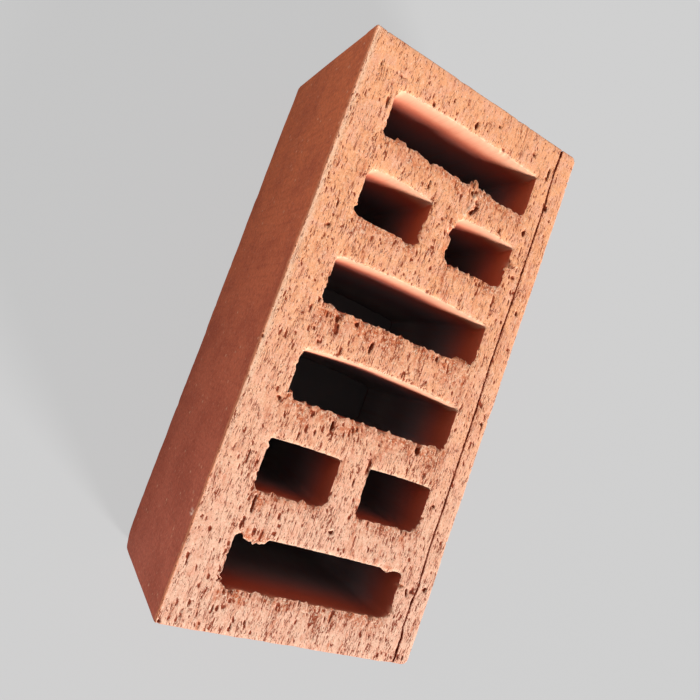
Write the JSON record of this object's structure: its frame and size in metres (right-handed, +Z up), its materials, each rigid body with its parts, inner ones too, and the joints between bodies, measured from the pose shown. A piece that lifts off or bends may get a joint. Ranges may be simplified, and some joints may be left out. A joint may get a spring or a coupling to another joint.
{
  "type": "clinker brick",
  "caption": "Vertically perforated clinker facing brick: an oblong fired-clay block with rectangular slots through its wire-cut beds, laid in mortar in a wall.",
  "frame": {"origin": "middle of the lower bed, on the surface that the brick lies on", "axes": "+X along the length, +Y across the width towards the cracked stretcher, +Z up out of the upper bed"},
  "size_m": [0.25, 0.118, 0.088],
  "materials": {
    "fired_clay": "matt fired clay, wire-cut with drag marks on the beds and smooth extruded skin on the sides"
  },
  "bodies": {
    "root": {"brick": "fired_clay"}
  },
  "joints": []
}
